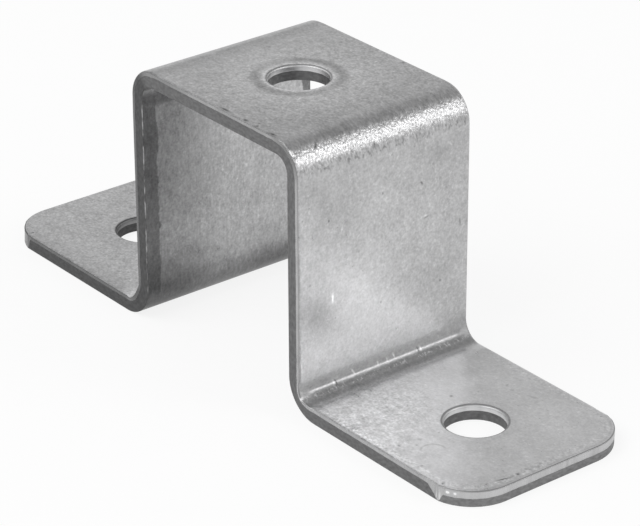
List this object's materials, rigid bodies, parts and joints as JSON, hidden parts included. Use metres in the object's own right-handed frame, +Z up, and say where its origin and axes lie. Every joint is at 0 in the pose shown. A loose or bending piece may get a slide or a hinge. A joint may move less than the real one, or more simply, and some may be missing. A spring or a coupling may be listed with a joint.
{
  "type": "strut cross connector",
  "caption": "Hat-shaped steel bracket that straddles a strut and bolts through its feet to the strut that crosses it.",
  "frame": {"origin": "middle of the underside of the two feet, in the plane that they stand on", "axes": "+X along the folded strip from one foot to the other, +Y across the strip along the strut that lies under the hat, +Z up from the feet to the top"},
  "size_m": [0.135, 0.038, 0.0505],
  "materials": {
    "zinc_plated_steel": "satin bright zinc plating over pressed sheet steel"
  },
  "bodies": {
    "root": {"cross_connector": "zinc_plated_steel"}
  },
  "joints": []
}
